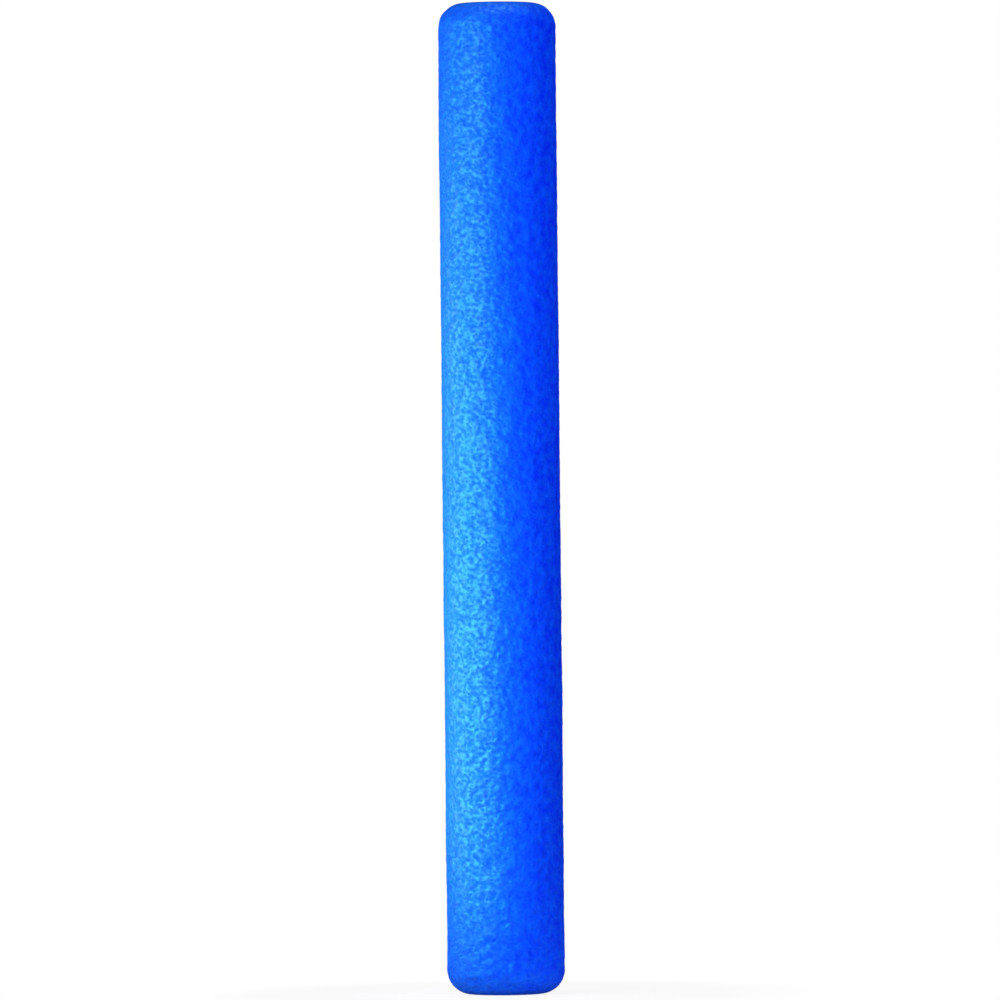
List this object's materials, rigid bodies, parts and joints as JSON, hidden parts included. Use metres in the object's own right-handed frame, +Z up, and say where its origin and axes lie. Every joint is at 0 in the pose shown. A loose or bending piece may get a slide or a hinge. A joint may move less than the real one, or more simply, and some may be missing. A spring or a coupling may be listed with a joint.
{
  "type": "pool noodle",
  "caption": "Thick straight foam float for the pool, round in section, with well-rounded ends and a bore along its axis.",
  "frame": {"origin": "centre of the flat lower end", "axes": "+Z up along the noodle's axis"},
  "size_m": [0.14, 0.14, 1.18],
  "materials": {
    "foam": "dull cellular skin of extruded closed-cell polyethylene foam, dyed blue throughout"
  },
  "bodies": {
    "root": {"foam_tube": "foam"}
  },
  "joints": []
}
